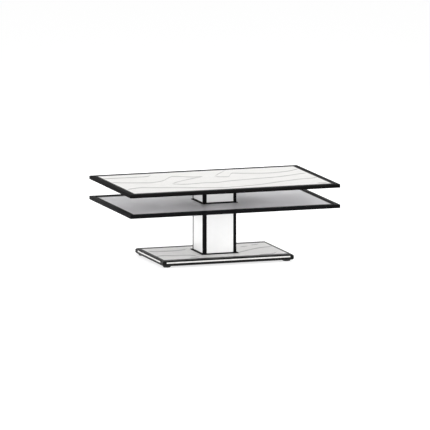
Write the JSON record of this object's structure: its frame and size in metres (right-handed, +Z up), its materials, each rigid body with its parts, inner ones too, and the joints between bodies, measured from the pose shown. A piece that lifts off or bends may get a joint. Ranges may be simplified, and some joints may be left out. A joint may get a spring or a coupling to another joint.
{
  "type": "lift top coffee table",
  "caption": "Coffee table with a wooden top on a square telescoping gas-spring column, a grey glass shelf fixed to the column and a ballasted wooden base.",
  "frame": {"origin": "centre of the footprint, on the floor under the column's axis", "axes": "+X along the long side of the top, -Y towards the front where the release paddle is, +Z up"},
  "size_m": [1.15, 0.7, 0.413],
  "materials": {
    "wood": "matt lacquer over pale, whitewashed grain",
    "edge_black": "black-stained lipping",
    "trim_black": "black anodised",
    "glass_grey": "opaque grey lacquer behind toughened glass, polished edge",
    "column_white": "white lacquered panels",
    "steel_black": "black powder coat",
    "steel_zinc": "zinc-plated steel",
    "steel_satin": "satin steel",
    "steel_raw": "grey primed steel",
    "rod_chrome": "ground and chromed",
    "plastic_black": "moulded black plastic",
    "plastic_natural": "natural acetal",
    "rubber_black": "black rubber",
    "silicone_clear": "clear silicone",
    "felt_grey": "pressed felt",
    "brass": "turned"
  },
  "bodies": {
    "base": {"base_plate": "wood", "ballast_plate": "steel_raw", "ballast_screws": "steel_zinc", "glide_feet": "plastic_black", "glide_pads": "felt_grey", "glide_screws": "steel_zinc", "base_gasket": "rubber_black", "foot_plate": "steel_zinc", "column_bolts": "steel_zinc", "column_sleeve": "steel_black", "column_panels": "column_white", "corner_profiles": "trim_black", "foot_cover": "trim_black", "rest_bumpers": "rubber_black", "guide_collar": "plastic_black", "collar_screws": "steel_zinc", "shelf_carrier": "steel_black", "shelf_pads": "silicone_clear", "glass_shelf": "glass_grey", "shelf_trim": "trim_black", "shelf_gasket": "rubber_black", "spring_rod": "rod_chrome", "spring_piston": "brass", "rod_nut": "steel_zinc"},
    "lift": {"lift_tube": "steel_satin", "guide_shoes": "plastic_natural", "shoe_screws": "steel_zinc", "spring_cylinder": "steel_black", "spring_gland": "plastic_black", "spring_socket": "steel_zinc", "top_carrier": "steel_black", "carrier_screws": "steel_zinc", "table_top": "wood", "edge_lipping": "edge_black", "cross_battens": "steel_black", "batten_screws": "steel_zinc", "shaft_bearings": "plastic_natural", "bearing_screws": "steel_zinc"},
    "release": {"release_shaft": "steel_zinc", "release_finger": "steel_zinc", "release_paddle": "plastic_black", "release_pins": "steel_satin"},
    "valve": {"valve_pin": "brass"}
  },
  "joints": [
    {"name": "lift", "type": "slide", "parent": "base", "child": "lift", "axis": [0, 0, 1], "range_m": [0, 0.22]},
    {"name": "release", "type": "hinge", "parent": "lift", "child": "release", "pos_m": [0.03, 0, 0.395], "axis": [0, -1, 0], "range_deg": [0, 6], "stiffness_Nm_per_rad": 8},
    {"name": "valve_press", "type": "slide", "parent": "lift", "child": "valve", "axis": [0, 0, -1], "range_m": [0, 0.0032], "stiffness_N_per_m": 20}
  ],
  "couplings": [
    {"joint": "valve_press", "follows": "release", "m_per_rad": 0.03}
  ]
}
